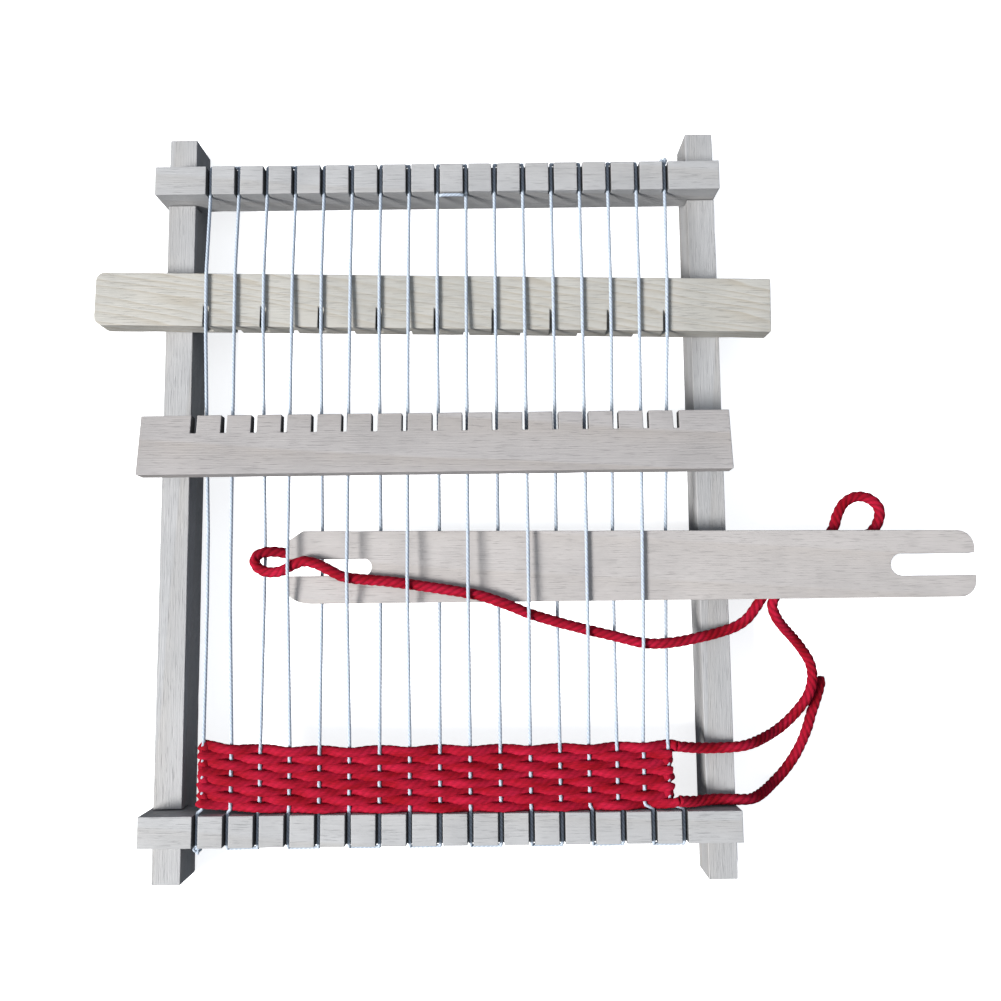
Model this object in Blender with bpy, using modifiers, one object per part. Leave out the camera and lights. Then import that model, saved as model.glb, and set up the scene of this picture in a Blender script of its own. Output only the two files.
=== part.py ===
"""A small wooden frame loom: a notched frame, its warp, the first rows of weaving and the loose tools.

Metres, +Z up. The loom lies on its back: X runs along the beams, Y along the posts towards the far beam,
and Z out of the frame's front. Everything is placed from the middle of the warp, and the empty loom_centre
moves that point so that the origin is at the bottom centre of the whole object.
"""

from math import atan, cos, pi, sin

import bmesh
import bpy
from mathutils import Matrix, Vector

# Fits and the cotton thread.
GAP = 0.0003
THREAD_RADIUS = 0.0006
THREAD_GAP = 0.0002
KNOT_RADIUS = 0.0013

# The warp: how many ends, how far apart, and how much the weaving draws the outer ends in.
ENDS = 17
PITCH = 0.010
DRAW_IN_LEFT = 0.0016
DRAW_IN_RIGHT = 0.0045
DRAW_IN_POWER = 4

# Frame. The posts' middles and the beams' ends are measured out from the outer ends of the warp.
POST_WIDTH = 0.0098
POST_DEPTH = 0.015
POST_PAST_BEAM = 0.01405
LEFT_POST_OUT = 0.0121
RIGHT_POST_OUT = 0.0139
BEAM_HEIGHT = 0.0103
BEAM_DEPTH = 0.015
BEAM_PAST_WARP = 0.0189
BEAM_SPACING = 0.2216
BEAM_PROUD = 0.0085
SLOT_WIDTH = 0.0018
SLOT_DEPTH = 0.0035

# Screws that hold the corners, driven from the back.
SCREW_LENGTH = 0.0155
SCREW_RADIUS = 0.0012
SCREW_HEAD_RADIUS = 0.0026
SCREW_HEAD_HEIGHT = 0.0018
SCREW_TIP_LENGTH = 0.0025
SCREW_TIP_RADIUS = 0.0004

# Turning heddle bar, which lies on the posts under the warp, a little askew: its far edge's rise per metre.
HEDDLE_SKEW = -0.022
HEDDLE_OUT_LEFT = 0.03835
HEDDLE_OUT_RIGHT = 0.0352
HEDDLE_WIDTH = 0.0188
HEDDLE_THICKNESS = 0.0083
HEDDLE_FROM_BEAM = 0.0448
HEDDLE_CORNER = 0.003
NOTCH_WIDTH = 0.0018
FRONT_NOTCH_RISE = 0.0075
FRONT_NOTCH_DEPTH = 0.0068
BACK_NOTCH_RISE = 0.0045
BACK_NOTCH_DEPTH = 0.0035

# Comb: a wedge, thin at its teeth. It rests on the raised ends where they climb from the heddle bar to the
# yarn on the shuttle.
COMB_PAST_WARP = 0.01785
COMB_HEIGHT = 0.0204
COMB_TEETH_THICKNESS = 0.0038
COMB_BACK_THICKNESS = 0.0064
COMB_SLOT_DEPTH = 0.0062
COMB_SLOT_WIDTH = 0.0018
COMB_X = -0.0005
COMB_Y = 0.0154

# Shuttle, which lies in the shed.
SHUTTLE_LEFT = -0.0509
SHUTTLE_LENGTH = 0.2306
SHUTTLE_TOP_Y = -0.0127
SHUTTLE_HEIGHT_LEFT = 0.0245
SHUTTLE_HEIGHT_RIGHT = 0.0224
SHUTTLE_THICKNESS = 0.004
SHUTTLE_BELOW_WARP = 0.001
SHUTTLE_CHAMFER_LENGTH = 0.0053
SHUTTLE_CHAMFER_HEIGHT = 0.0035
SHUTTLE_ROUND_LENGTH = 0.0086
SHUTTLE_ROUND_HEIGHT = 0.0047
SHUTTLE_END_ROUND = 0.0055
LEFT_SLOT_LENGTH = 0.0285
LEFT_SLOT_WIDTH = 0.0056
LEFT_SLOT_Y = -0.0250
RIGHT_SLOT_LENGTH = 0.0283
RIGHT_SLOT_WIDTH = 0.0074
RIGHT_SLOT_Y = -0.0262

# Weaving and yarn. The woven rows are beaten down, so their tube is thinner than the loose yarn.
YARN_RADIUS = 0.0017
YARN_ON_SHUTTLE_Y = -0.0280
ROWS = 8
ROW_PITCH = 0.0026
FIRST_ROW_OUT = 0.00275
ROW_TUBE_RADIUS = 0.0011
ROW_GAP = 0.0005
SELVEDGE_OUT = 0.0024
WEFT_END_OUT = 0.0018
DRAW_IN_LENGTH = 0.0008

# The working yarn, from the last row round to the shuttle, measured from the middle of the warp.
WORKING_YARN = (
    (0.0785, -0.0853, 0.0212), (0.0825, -0.0859, 0.0200), (0.0873, -0.0864, 0.0184),
    (0.0930, -0.0866, 0.0174), (0.0995, -0.0863, 0.0174), (0.1040, -0.0857, 0.0159),
    (0.1090, -0.0847, 0.0122), (0.1151, -0.0827, 0.0079), (0.1203, -0.0794, 0.0061),
    (0.1247, -0.0749, 0.0060), (0.1279, -0.0703, 0.0060), (0.1295, -0.0652, 0.0055),
    (0.1292, -0.0601, 0.0048), (0.1266, -0.0555, 0.0055), (0.1224, -0.0511, 0.0090),
    (0.1177, -0.0470, 0.0135), (0.1143, -0.0432, 0.0167), (0.1130, -0.0387, 0.0178),
    (0.1165, -0.0333, 0.0179), (0.1260, -0.0266, 0.0179), (0.1380, -0.0203, 0.0179),
    (0.1475, -0.0150, 0.0178), (0.1508, -0.0104, 0.0173), (0.1510, -0.0062, 0.0168),
    (0.1480, -0.0032, 0.0165), (0.1436, -0.0025, 0.0165), (0.1393, -0.0047, 0.0168),
    (0.1366, -0.0089, 0.0173), (0.1345, -0.0140, 0.0178), (0.1295, -0.0200, 0.0179),
    (0.1195, -0.0284, 0.0179), (0.1110, -0.0350, 0.0179), (0.1073, -0.0400, 0.0177),
    (0.1044, -0.0437, 0.0174), (0.1005, -0.0463, 0.0174), (0.0948, -0.0482, 0.0180),
    (0.0878, -0.0497, 0.0197), (0.0779, -0.0513, 0.0214), (0.0687, -0.0514, 0.0219),
    (0.0587, -0.0490, 0.0220), (0.0494, -0.0467, 0.0224), (0.0397, -0.0441, 0.0231),
    (0.0304, -0.0412, 0.0243), (0.0244, -0.0387, 0.0253), (0.0191, -0.0367, 0.0258),
    (0.0131, -0.0348, 0.0259), (0.0039, -0.0331, 0.0259), (-0.0061, -0.0315, 0.0259),
    (-0.0164, -0.0300, 0.0259), (-0.0260, -0.0291, 0.0259), (-0.0317, -0.0282, 0.0259),
    (-0.0361, -0.0260, 0.0259), (-0.0402, -0.0240, 0.0259), (-0.0446, -0.0230, 0.0258),
    (-0.0488, -0.0243, 0.0251), (-0.0530, -0.0262, 0.0238), (-0.0580, -0.0263, 0.0224),
    (-0.0613, -0.0246, 0.0217), (-0.0623, -0.0222, 0.0212), (-0.0610, -0.0202, 0.0205),
    (-0.0575, -0.0194, 0.0194), (-0.0537, -0.0197, 0.0181), (-0.0499, -0.0211, 0.0178),
    (-0.0462, -0.0226, 0.0178),
)
YARN_STEP = 0.0065

# The weft's first end, from the first row out past the frame.
WEFT_TAIL = (
    (0.0785, -0.1026, 0.0227), (0.0830, -0.1032, 0.0208), (0.0879, -0.1033, 0.0185),
    (0.0931, -0.1033, 0.0174), (0.0996, -0.1035, 0.0174), (0.1040, -0.1036, 0.0158),
    (0.1086, -0.1029, 0.0113), (0.1139, -0.1009, 0.0057), (0.1195, -0.0967, 0.0028),
    (0.1242, -0.0907, 0.0020), (0.1276, -0.0839, 0.0020), (0.1299, -0.0773, 0.0020),
    (0.1319, -0.0721, 0.0020), (0.1335, -0.0669, 0.0020), (0.1338, -0.0648, 0.0020),
)

SEGMENTS = 24
CUT_PAST = 0.001
CURVE_SAMPLES = 10
WARP_HALF = PITCH * (ENDS - 1) / 2
LEFT_POST_X = -WARP_HALF - LEFT_POST_OUT
RIGHT_POST_X = WARP_HALF + RIGHT_POST_OUT
BEAM_Y = BEAM_SPACING / 2
BEAM_LENGTH = 2 * (WARP_HALF + BEAM_PAST_WARP)
BEAM_FRONT_Z = POST_DEPTH + BEAM_PROUD
BEAM_BACK_Z = BEAM_FRONT_Z - BEAM_DEPTH
BEAM_INNER_Y = BEAM_Y - BEAM_HEIGHT / 2
BEAM_OUTER_Y = BEAM_Y + BEAM_HEIGHT / 2
POST_LENGTH = 2 * (BEAM_OUTER_Y + POST_PAST_BEAM)
THREAD_Z = BEAM_FRONT_Z - SLOT_DEPTH + GAP + THREAD_RADIUS
FIRST_ROW_Y = FIRST_ROW_OUT - BEAM_INNER_Y
FELL_Y = FIRST_ROW_Y + (ROWS - 0.5) * ROW_PITCH
HEDDLE_BACK_Z = POST_DEPTH + GAP
HEDDLE_LEFT = -WARP_HALF - HEDDLE_OUT_LEFT
HEDDLE_RIGHT = WARP_HALF + HEDDLE_OUT_RIGHT
HEDDLE_Y = BEAM_Y - HEDDLE_FROM_BEAM
HEDDLE_FAR_Y = HEDDLE_Y + HEDDLE_WIDTH / 2
HEDDLE_NEAR_Y = HEDDLE_FAR_Y - HEDDLE_WIDTH
OVER_HEDDLE_Z = HEDDLE_BACK_Z + HEDDLE_THICKNESS + THREAD_GAP + THREAD_RADIUS
SHUTTLE_Z = THREAD_Z - SHUTTLE_BELOW_WARP
SHUTTLE_NEAR_Y = SHUTTLE_TOP_Y - SHUTTLE_HEIGHT_LEFT
OVER_SHUTTLE_Z = SHUTTLE_Z + SHUTTLE_THICKNESS + GAP + THREAD_RADIUS
UNDER_SHUTTLE_Z = SHUTTLE_Z - GAP - THREAD_RADIUS
CLEAR_OF_YARN = YARN_RADIUS + THREAD_RADIUS + GAP
OVER_YARN_Z = SHUTTLE_Z + SHUTTLE_THICKNESS + GAP + YARN_RADIUS + CLEAR_OF_YARN
COMB_LENGTH = 2 * (WARP_HALF + COMB_PAST_WARP)
COMB_SLOPE = (OVER_YARN_Z - OVER_HEDDLE_Z) / (HEDDLE_FAR_Y - YARN_ON_SHUTTLE_Y)
COMB_BACK_Z = OVER_HEDDLE_Z + COMB_SLOPE * (HEDDLE_FAR_Y - COMB_Y) + THREAD_RADIUS + GAP
HEDDLE_CORNER_X = HEDDLE_LEFT + HEDDLE_SKEW * (HEDDLE_WIDTH - HEDDLE_CORNER)
CENTRE_X = (min(HEDDLE_CORNER_X, SHUTTLE_LEFT) + max(HEDDLE_RIGHT, SHUTTLE_LEFT + SHUTTLE_LENGTH)) / 2
ACROSS = Matrix(((0, 0, 1, 0), (1, 0, 0, 0), (0, 1, 0, 0), (0, 0, 0, 1)))

FINISHES = {
    "frame_wood": ((0.58, 0.55, 0.48), 0.7, 0.0),
    "heddle_wood": ((0.62, 0.51, 0.35), 0.65, 0.0),
    "comb_wood": ((0.52, 0.46, 0.41), 0.7, 0.0),
    "shuttle_wood": ((0.58, 0.54, 0.48), 0.7, 0.0),
    "cotton": ((0.82, 0.82, 0.80), 0.9, 0.0),
    "yarn": ((0.47, 0.008, 0.035), 0.95, 0.0),
    "screw_steel": ((0.55, 0.55, 0.53), 0.35, 1.0),
}


def clear_scene():
    for obj in list(bpy.data.objects):
        bpy.data.objects.remove(obj, do_unlink=True)


def new_collection(name):
    collection = bpy.data.collections.new(name)
    bpy.context.scene.collection.children.link(collection)
    return collection


def new_empty(name, place, parent=None):
    empty = bpy.data.objects.new(name, None)
    loom.objects.link(empty)
    empty.parent = parent
    empty.location = place
    return empty


def finish_material(name):
    found = bpy.data.materials.get(name)
    if found:
        return found
    colour, roughness, metallic = FINISHES[name]
    made = bpy.data.materials.new(name)
    made.use_nodes = True
    shader = made.node_tree.nodes["Principled BSDF"]
    shader.inputs["Base Color"].default_value = (*colour, 1.0)
    shader.inputs["Roughness"].default_value = roughness
    shader.inputs["Metallic"].default_value = metallic
    made.diffuse_color = (*colour, 1.0)
    return made


def adopt(obj, finish=None, parent=None):
    """Puts an object in the loom, or among the cutters where it has no finish, under its parent."""
    for holder in list(obj.users_collection):
        holder.objects.unlink(obj)
    obj.parent = parent or centre
    if finish is None:
        cutters.objects.link(obj)
        obj.hide_render = True
        obj.display_type = "WIRE"
        return obj
    loom.objects.link(obj)
    obj.data.materials.clear()
    obj.data.materials.append(finish_material(finish))
    return obj


def box(name, low, high, finish=None):
    """A box between two corners, with its origin in its middle."""
    size = Vector(high) - Vector(low)
    bpy.ops.mesh.primitive_cube_add(size=1, location=Vector(low) + size / 2)
    obj = bpy.context.object
    obj.name = name
    obj.data.transform(Matrix.Diagonal((*size, 1)))
    return adopt(obj, finish)


def meshed(guide, turn=None):
    """A curve's evaluated mesh in its place, with the loose caps welded on."""
    graph = bpy.context.evaluated_depsgraph_get()
    mesh = bpy.data.meshes.new_from_object(guide.evaluated_get(graph))
    name = guide.name
    bpy.data.objects.remove(guide, do_unlink=True)
    if turn:
        mesh.transform(turn)
    shape = bmesh.new()
    shape.from_mesh(mesh)
    bmesh.ops.remove_doubles(shape, verts=shape.verts, dist=1e-6)
    bmesh.ops.recalc_face_normals(shape, faces=shape.faces)
    shape.to_mesh(mesh)
    shape.free()
    obj = bpy.data.objects.new(name, mesh)
    bpy.context.scene.collection.objects.link(obj)
    return obj


def slab(name, outline, thickness, turn=None):
    """A flat outline extruded both ways by half its thickness, as a mesh, and turned if asked."""
    curve = bpy.data.curves.new(name, "CURVE")
    curve.dimensions = "2D"
    curve.fill_mode = "BOTH"
    curve.extrude = thickness / 2
    spline = curve.splines.new("POLY")
    spline.points.add(len(outline) - 1)
    for point, (x, y) in zip(spline.points, outline):
        point.co = (x, y, 0, 1)
    spline.use_cyclic_u = True
    guide = bpy.data.objects.new(name, curve)
    bpy.context.scene.collection.objects.link(guide)
    return meshed(guide, turn)


def tube(name, points, radius, finish, parent=None):
    """A round thread or yarn through points measured from the middle of the warp."""
    origin = parent.location if parent else Vector((0, 0, 0))
    curve = bpy.data.curves.new(name, "CURVE")
    curve.dimensions = "3D"
    curve.bevel_depth = radius
    curve.bevel_resolution = 2
    curve.use_fill_caps = True
    spline = curve.splines.new("POLY")
    spline.points.add(len(points) - 1)
    for point, place in zip(spline.points, points):
        point.co = (*(Vector(place) - origin), 1)
    obj = bpy.data.objects.new(name, curve)
    bpy.context.scene.collection.objects.link(obj)
    return adopt(obj, finish, parent)


def cutter_row(name, corners):
    """One cutter made of boxes that don't touch, each given by its low and high corner."""
    shape = bmesh.new()
    for low, high in corners:
        size = Vector(high) - Vector(low)
        place = Matrix.Translation(Vector(low) + size / 2) @ Matrix.Diagonal((*size, 1))
        bmesh.ops.create_cube(shape, size=1, matrix=place)
    mesh = bpy.data.meshes.new(name)
    shape.to_mesh(mesh)
    shape.free()
    obj = bpy.data.objects.new(name, mesh)
    bpy.context.scene.collection.objects.link(obj)
    return adopt(obj)


def cut(obj, cutter):
    boolean = obj.modifiers.new("cut_" + cutter.name, "BOOLEAN")
    boolean.operation = "DIFFERENCE"
    boolean.object = cutter


def arc(x, y, across, along, start, end, steps=5):
    """Points on a quarter or half of an ellipse, by its middle, half sizes and angles."""
    angles = [start + (end - start) * k / steps for k in range(steps + 1)]
    return [(x + across * cos(a), y + along * sin(a)) for a in angles]


def slot_x(end):
    """Where an end sits in the beams, counted from 1 at the left."""
    return (end - 1) * PITCH - WARP_HALF


def woven_x(end):
    """Where the same end is in the weaving, drawn in towards the middle."""
    x = slot_x(end)
    share = abs(x / slot_x(ENDS)) ** DRAW_IN_POWER
    return x + DRAW_IN_LEFT * share if x < 0 else x - DRAW_IN_RIGHT * share


def end_x(end, y):
    """An end's place across the loom at y, between the far beam and the weaving."""
    share = (BEAM_INNER_Y - y) / (BEAM_INNER_Y - FELL_Y)
    return slot_x(end) + (woven_x(end) - slot_x(end)) * share


def smooth_route(points, step):
    """Evenly spaced points, about a step apart, on a smooth curve through the given points."""
    first = 2 * Vector(points[0]) - Vector(points[1])
    last = 2 * Vector(points[-1]) - Vector(points[-2])
    through = [first, *map(Vector, points), last]
    fine = []
    for a, b, c, d in zip(through, through[1:], through[2:], through[3:]):
        for k in range(CURVE_SAMPLES):
            t = k / CURVE_SAMPLES
            bend = (2 * a - 5 * b + 4 * c - d) * t**2 + (3 * b - a - 3 * c + d) * t**3
            fine.append((2 * b + (c - a) * t + bend) / 2)
    fine.append(Vector(points[-1]))
    lengths = [(b - a).length for a, b in zip(fine, fine[1:])]
    pieces = round(sum(lengths) / step)
    spacing = sum(lengths) / pieces
    route = [fine[0]]
    walked = 0
    for start, end, length in zip(fine, fine[1:], lengths):
        while len(route) < pieces and walked + length >= spacing * len(route):
            route.append(start.lerp(end, (spacing * len(route) - walked) / length))
        walked += length
    return [*route, fine[-1]]


def crossings(end, route):
    """The (y, z) places where the yarn passes an end, between the comb and the weaving."""
    found = []
    for a, b in zip(route, route[1:]):
        x = end_x(end, (a.y + b.y) / 2)
        if (a.x - x) * (b.x - x) <= 0 and a.x != b.x and a.x < slot_x(ENDS) + PITCH / 2:
            share = (x - a.x) / (b.x - a.x)
            found.append((a.y + (b.y - a.y) * share, a.z + (b.z - a.z) * share))
    return [(y, z) for y, z in found if y > FELL_Y + 2 * YARN_RADIUS]


def taut(points, side):
    """The points of a list, running to lower y, that a tight thread touches: side 1 above, -1 below."""
    kept = []
    for y, z in sorted(points, reverse=True):
        while len(kept) > 1:
            (y0, z0), (y1, z1) = kept[-2:]
            straight = z0 + (z - z0) * (y1 - y0) / (y - y0)
            if (z1 - straight) * side > 0:
                break
            kept.pop()
        kept.append((y, z))
    return kept


def raised_path(end, route):
    """(y, z) of an end that passes over the shuttle and over the yarn, from the far beam to the fell."""
    skew = HEDDLE_SKEW * slot_x(end)
    points = [(BEAM_INNER_Y, THREAD_Z), (FELL_Y, THREAD_Z)]
    points += [(HEDDLE_FAR_Y + skew, OVER_HEDDLE_Z), (HEDDLE_NEAR_Y + skew, OVER_HEDDLE_Z)]
    points += [(SHUTTLE_TOP_Y, OVER_SHUTTLE_Z), (SHUTTLE_NEAR_Y, OVER_SHUTTLE_Z)]
    points += [(y, z + CLEAR_OF_YARN) for y, z in crossings(end, route)]
    return taut(points, 1)


def lowered_path(end, route):
    """(y, z) of an end that passes under the shuttle and under the yarn, from the far beam to the fell."""
    skew = HEDDLE_SKEW * slot_x(end)
    near_heddle = (HEDDLE_NEAR_Y + skew, OVER_HEDDLE_Z)
    points = [near_heddle, (FELL_Y, THREAD_Z)]
    points += [(SHUTTLE_TOP_Y, UNDER_SHUTTLE_Z), (SHUTTLE_NEAR_Y, UNDER_SHUTTLE_Z)]
    points += [(y, z - CLEAR_OF_YARN) for y, z in crossings(end, route)]
    return [(BEAM_INNER_Y, THREAD_Z), (HEDDLE_FAR_Y + skew, OVER_HEDDLE_Z), *taut(points, -1)]


def warp_end(end, route):
    raised = end % 2 == 0
    path = raised_path(end, route) if raised else lowered_path(end, route)
    outside = BEAM_OUTER_Y + GAP / 3
    points = [(slot_x(end), outside, THREAD_Z)]
    points += [(end_x(end, y), y, z) for y, z in path]
    first_row = FIRST_ROW_Y - ROW_PITCH / 2
    points.append((woven_x(end), first_row, THREAD_Z))
    points.append((slot_x(end), first_row - DRAW_IN_LENGTH, THREAD_Z))
    points.append((slot_x(end), -outside, THREAD_Z))
    parent = raised_ends if raised else lowered_ends
    tube(f"warp_end_{end:02d}", points, THREAD_RADIUS, "cotton", parent)


def warp_turns():
    """The thread's turns round the teeth: the near beam joins 17 to 16, the far beam 16 to 15, and so on."""
    for end in range(1, ENDS):
        side = -1 if (ENDS - end) % 2 else 1
        side_name = "near" if side < 0 else "far"
        start = side * (BEAM_OUTER_Y + GAP / 3 + GAP)
        run = side * (BEAM_OUTER_Y + 2 * GAP + THREAD_RADIUS)
        left = slot_x(end)
        right = slot_x(end + 1)
        points = [(left, start, THREAD_Z), (left, run, THREAD_Z)]
        points += [(right, run, THREAD_Z), (right, start, THREAD_Z)]
        tube(f"warp_turn_{side_name}_{end:02d}", points, THREAD_RADIUS, "cotton")


def warp_knot(name, end, side):
    y = side * (BEAM_OUTER_Y + GAP / 3 + GAP + KNOT_RADIUS)
    bpy.ops.mesh.primitive_uv_sphere_add(
        segments=12, ring_count=8, radius=KNOT_RADIUS, location=(slot_x(end), y, THREAD_Z)
    )
    knot = bpy.context.object
    knot.name = name
    knot.data.shade_smooth()
    adopt(knot, "cotton")


def warp_tie():
    """The short length of cotton that crosses one tooth in front, where two threads were joined."""
    middle = (ENDS + 1) // 2
    inset = 1.5 * THREAD_RADIUS
    y = BEAM_INNER_Y - GAP - THREAD_RADIUS
    z = THREAD_Z + 3 * THREAD_RADIUS
    points = [(slot_x(middle) + inset, y, z), (slot_x(middle + 1) - inset, y, z)]
    tube("warp_tie", points, THREAD_RADIUS, "cotton")


def weft():
    """The woven rows as one yarn: over and under the ends, and round the outer ends at each side."""
    lift = THREAD_RADIUS + ROW_TUBE_RADIUS + ROW_GAP
    points = [(woven_x(ENDS) + WEFT_END_OUT, FIRST_ROW_Y, THREAD_Z + lift / 2)]
    for row in range(ROWS):
        y = FIRST_ROW_Y + row * ROW_PITCH
        leftward = row % 2 == 0
        ends = range(ENDS, 0, -1) if leftward else range(1, ENDS + 1)
        for end in ends:
            side = 1 if (end + row) % 2 else -1
            points.append((woven_x(end), y, THREAD_Z + side * lift))
        if row < ROWS - 1:
            x = woven_x(1) - SELVEDGE_OUT if leftward else woven_x(ENDS) + SELVEDGE_OUT
            points.append((x, y + ROW_PITCH / 4, THREAD_Z))
            points.append((x, y + ROW_PITCH * 3 / 4, THREAD_Z))
    points.append((woven_x(ENDS) + WEFT_END_OUT, y, THREAD_Z + side * lift / 2))
    tube("weft", points, ROW_TUBE_RADIUS, "yarn")


def screw_outline(grow):
    """Half outline of a countersunk screw from its tip down its side, or of its hole where grow isn't 0."""
    top = GAP + SCREW_LENGTH
    outline = [
        (0, top + grow),
        (SCREW_TIP_RADIUS + grow, top + grow),
        (SCREW_RADIUS + grow, top - SCREW_TIP_LENGTH),
        (SCREW_RADIUS + grow, GAP + SCREW_HEAD_HEIGHT),
        (SCREW_HEAD_RADIUS + grow, GAP),
    ]
    if grow:
        outline += [(SCREW_HEAD_RADIUS + grow, -CUT_PAST), (0, -CUT_PAST)]
    else:
        outline.append((0, GAP))
    return outline


def turned(name, outline, place, finish=None):
    """A half outline turned about Z."""
    mesh = bpy.data.meshes.new(name)
    points = [(x, 0, z) for x, z in outline]
    mesh.from_pydata(points, [(k, k + 1) for k in range(len(points) - 1)], [])
    obj = bpy.data.objects.new(name, mesh)
    bpy.context.scene.collection.objects.link(obj)
    turn = obj.modifiers.new("turn", "SCREW")
    turn.steps = SEGMENTS
    turn.render_steps = SEGMENTS
    turn.use_merge_vertices = True
    turn.merge_threshold = 1e-5
    turn.use_smooth_shade = False
    obj.location = place
    return adopt(obj, finish)


def frame():
    """Two posts, two slotted beams let into them, and a screw at each corner."""
    half = POST_LENGTH / 2
    posts = {"left": LEFT_POST_X, "right": RIGHT_POST_X}
    beams = {"near": -BEAM_Y, "far": BEAM_Y}
    made = {}
    for side, x in posts.items():
        low = (x - POST_WIDTH / 2, -half, 0)
        high = (x + POST_WIDTH / 2, half, POST_DEPTH)
        made[side] = box(f"{side}_post", low, high, "frame_wood")
        housings = []
        for y in beams.values():
            reach = BEAM_HEIGHT / 2 + GAP
            low = (x - POST_WIDTH, y - reach, BEAM_BACK_Z - GAP)
            high = (x + POST_WIDTH, y + reach, POST_DEPTH + CUT_PAST)
            housings.append((low, high))
        cut(made[side], cutter_row(f"{side}_post_housings", housings))
    for side, y in beams.items():
        low = (-BEAM_LENGTH / 2, y - BEAM_HEIGHT / 2, BEAM_BACK_Z)
        high = (BEAM_LENGTH / 2, y + BEAM_HEIGHT / 2, BEAM_FRONT_Z)
        made[side] = box(f"{side}_beam", low, high, "frame_wood")
        slots = []
        for end in range(1, ENDS + 1):
            x = slot_x(end)
            low = (x - SLOT_WIDTH / 2, y - BEAM_HEIGHT, BEAM_FRONT_Z - SLOT_DEPTH)
            high = (x + SLOT_WIDTH / 2, y + BEAM_HEIGHT, BEAM_FRONT_Z + CUT_PAST)
            slots.append((low, high))
        cut(made[side], cutter_row(f"{side}_beam_slots", slots))
    for post_side, x in posts.items():
        for beam_side, y in beams.items():
            name = f"{beam_side}_{post_side}_screw"
            turned(name, screw_outline(0), (x, y, 0), "screw_steel")
            hole = turned(f"{name}_hole", screw_outline(GAP), (x, y, 0))
            cut(made[post_side], hole)
            cut(made[beam_side], hole)


def heddle():
    """The turning bar, with its origin on the far lower edge that it turns about.

    Odd ends have notches in the near front edge and even ends in the near back edge."""
    left = HEDDLE_LEFT
    right = HEDDLE_RIGHT
    near = -HEDDLE_WIDTH
    r = HEDDLE_CORNER
    outline = [(right, near), (right, 0)]
    outline += arc(left + r, -r, r, r, pi / 2, pi)
    outline += arc(left + r, near + r, r, r, pi, 3 * pi / 2)
    raise_it = Matrix.Translation((0, 0, HEDDLE_THICKNESS / 2))
    bar = slab("heddle_bar", outline, HEDDLE_THICKNESS, raise_it)
    adopt(bar, "heddle_wood")
    bar.location = (0, HEDDLE_FAR_Y, HEDDLE_BACK_Z)
    bar.rotation_euler.z = atan(HEDDLE_SKEW)
    past = CUT_PAST
    top = HEDDLE_THICKNESS
    front_notch = [
        (near + FRONT_NOTCH_RISE, top), (near + FRONT_NOTCH_RISE, top + past),
        (near - past, top + past), (near - past, top - FRONT_NOTCH_DEPTH),
        (near, top - FRONT_NOTCH_DEPTH),
    ]
    back_notch = [
        (near + BACK_NOTCH_RISE, 0), (near, BACK_NOTCH_DEPTH), (near - past, BACK_NOTCH_DEPTH),
        (near - past, -past), (near + BACK_NOTCH_RISE, -past),
    ]
    for end in range(1, ENDS + 1):
        profile = front_notch if end % 2 else back_notch
        notch = adopt(slab(f"heddle_notch_{end:02d}", profile, NOTCH_WIDTH, ACROSS), None, bar)
        notch.location = (end_x(end, HEDDLE_Y), 0, 0)
        cut(bar, notch)


def comb():
    half = COMB_HEIGHT / 2
    outline = [(-half, 0), (half, 0), (half, COMB_TEETH_THICKNESS), (-half, COMB_BACK_THICKNESS)]
    board = adopt(slab("comb", outline, COMB_LENGTH, ACROSS), "comb_wood")
    board.location = (COMB_X, COMB_Y, COMB_BACK_Z)
    board.rotation_euler.x = -atan(COMB_SLOPE)
    slots = []
    for end in range(1, ENDS + 1):
        x = slot_x(end)
        low = (x - COMB_SLOT_WIDTH / 2, half - COMB_SLOT_DEPTH, -CUT_PAST)
        high = (x + COMB_SLOT_WIDTH / 2, half + CUT_PAST, COMB_BACK_THICKNESS + CUT_PAST)
        slots.append((low, high))
    teeth = cutter_row("comb_slots", slots)
    teeth.parent = board
    cut(board, teeth)


def shuttle():
    """A flat board with a slot open at each end, and its origin in the middle of its left end."""
    length = SHUTTLE_LENGTH
    near = -SHUTTLE_HEIGHT_LEFT / 2
    far_left = SHUTTLE_HEIGHT_LEFT / 2
    far_right = near + SHUTTLE_HEIGHT_RIGHT
    middle_y = SHUTTLE_TOP_Y - far_left
    r = SHUTTLE_END_ROUND
    left_y = LEFT_SLOT_Y - middle_y
    left_r = LEFT_SLOT_WIDTH / 2
    right_y = RIGHT_SLOT_Y - middle_y
    right_r = RIGHT_SLOT_WIDTH / 2
    outline = [(0, left_y + left_r), (0, far_left - SHUTTLE_CHAMFER_HEIGHT)]
    outline.append((SHUTTLE_CHAMFER_LENGTH, far_left))
    outline += arc(length - r, far_right - r, r, r, pi / 2, 0)
    outline.append((length, right_y + right_r))
    slot_end = length - RIGHT_SLOT_LENGTH + right_r
    outline += arc(slot_end, right_y, right_r, right_r, pi / 2, 3 * pi / 2, 8)
    outline.append((length, right_y - right_r))
    outline += arc(length - r, near + r, r, r, 0, -pi / 2)
    across = SHUTTLE_ROUND_LENGTH
    along = SHUTTLE_ROUND_HEIGHT
    outline += arc(across, near + along, across, along, -pi / 2, -pi)
    outline.append((0, left_y - left_r))
    slot_end = LEFT_SLOT_LENGTH - left_r
    outline += arc(slot_end, left_y, left_r, left_r, -pi / 2, pi / 2, 8)
    board = adopt(slab("shuttle", outline, SHUTTLE_THICKNESS), "shuttle_wood")
    board.location = (SHUTTLE_LEFT, middle_y, SHUTTLE_Z + SHUTTLE_THICKNESS / 2)


clear_scene()
loom = new_collection("loom")
cutters = new_collection("cutters")
centre = new_empty("loom_centre", (-CENTRE_X, 0, 0))
raised_ends = new_empty("raised_ends", (0, FELL_Y, THREAD_Z), centre)
lowered_ends = new_empty("lowered_ends", (0, FELL_Y, THREAD_Z), centre)

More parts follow.
